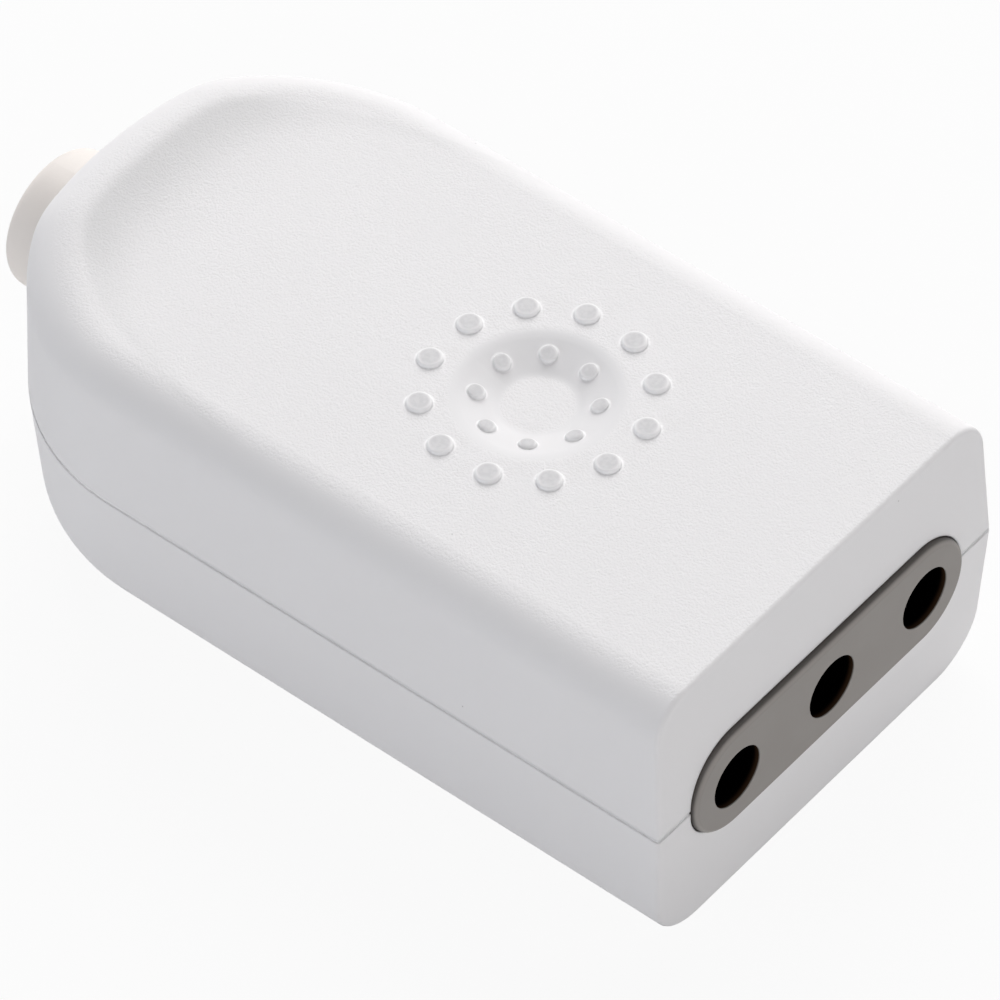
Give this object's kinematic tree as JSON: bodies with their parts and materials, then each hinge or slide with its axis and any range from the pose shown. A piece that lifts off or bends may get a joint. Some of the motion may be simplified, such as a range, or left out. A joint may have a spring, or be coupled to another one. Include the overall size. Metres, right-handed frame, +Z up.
{
  "type": "in-line power socket",
  "caption": "Rewireable in-line mains socket: white moulded half shells with a dished grip, a grey face with round pin holes in a row, and a cream cable bush at the back",
  "frame": {"origin": "middle of the flat base on which the socket lies", "axes": "+Y from the pin-hole face to the cable bush, +X across the pin holes, +Z up through the grip dish"},
  "size_m": [0.0338, 0.0656, 0.0236],
  "materials": {
    "white_plastic": "fine moulded texture on top, smoother on the sides",
    "grey_plastic": "matt, smooth",
    "cream_plastic": "satin, smooth",
    "brass": "turned",
    "steel": "zinc plated"
  },
  "bodies": {
    "root": {"upper_shell": "white_plastic", "lower_shell": "white_plastic", "socket_block": "grey_plastic", "retaining_plate": "grey_plastic", "cable_bush": "cream_plastic", "contact_line": "brass", "contact_earth": "brass", "contact_neutral": "brass", "terminal_screws": "brass", "spring_line": "steel", "spring_earth": "steel", "spring_neutral": "steel", "clamp_bar": "steel", "clamp_screws": "steel", "case_screws": "steel"}
  },
  "joints": []
}
